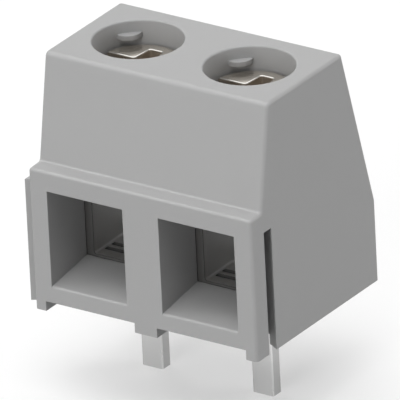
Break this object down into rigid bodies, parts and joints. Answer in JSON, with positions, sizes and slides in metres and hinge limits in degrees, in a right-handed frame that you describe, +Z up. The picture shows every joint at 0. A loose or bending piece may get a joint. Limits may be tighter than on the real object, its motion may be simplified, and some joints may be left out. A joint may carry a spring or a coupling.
{
  "type": "pcb screw terminal block",
  "caption": "Grey board-mount terminal block with square wire entries, screw clamps in round wells, flat solder pins, and a dovetail rib and groove to gang blocks.",
  "frame": {"origin": "on the board's surface, under the middle foot, midway between the two solder pins", "axes": "+Z up out of the board; +Y from the wire entries to the back; +X to the right seen from the front"},
  "size_m": [0.0105, 0.0082, 0.0135],
  "materials": {
    "housing": "moulded grey polyamide, fine matte texture",
    "clamp_body": "nickel-plated brass",
    "solder_pin": "matte tin plate on brass",
    "clamp_screw": "zinc-nickel plated steel",
    "wire_guard": "bare stainless spring steel"
  },
  "bodies": {
    "block": {"housing": "housing", "clamp_body_left": "clamp_body", "solder_pin_left": "solder_pin", "clamp_body_right": "clamp_body", "solder_pin_right": "solder_pin"},
    "guard_left": {"wire_guard_left": "wire_guard"},
    "screw_left": {"clamp_screw_left": "clamp_screw"},
    "guard_right": {"wire_guard_right": "wire_guard"},
    "screw_right": {"clamp_screw_right": "clamp_screw"}
  },
  "joints": [
    {"name": "guard_slide_left", "type": "slide", "parent": "block", "child": "guard_left", "axis": [0, 0, 1], "range_m": [-0.0022, 0]},
    {"name": "screw_turn_left", "type": "hinge", "parent": "guard_left", "child": "screw_left", "pos_m": [-0.0025, -0.00012, 0.0045], "axis": [0, 0, 1], "range_deg": [-1760.1, 0]},
    {"name": "guard_slide_right", "type": "slide", "parent": "block", "child": "guard_right", "axis": [0, 0, 1], "range_m": [-0.0022, 0]},
    {"name": "screw_turn_right", "type": "hinge", "parent": "guard_right", "child": "screw_right", "pos_m": [0.0025, -0.00012, 0.0045], "axis": [0, 0, 1], "range_deg": [-1760.1, 0]}
  ],
  "couplings": [
    {"joint": "screw_turn_left", "follows": "guard_slide_left", "rad_per_m": 13963},
    {"joint": "screw_turn_right", "follows": "guard_slide_right", "rad_per_m": 13963}
  ]
}
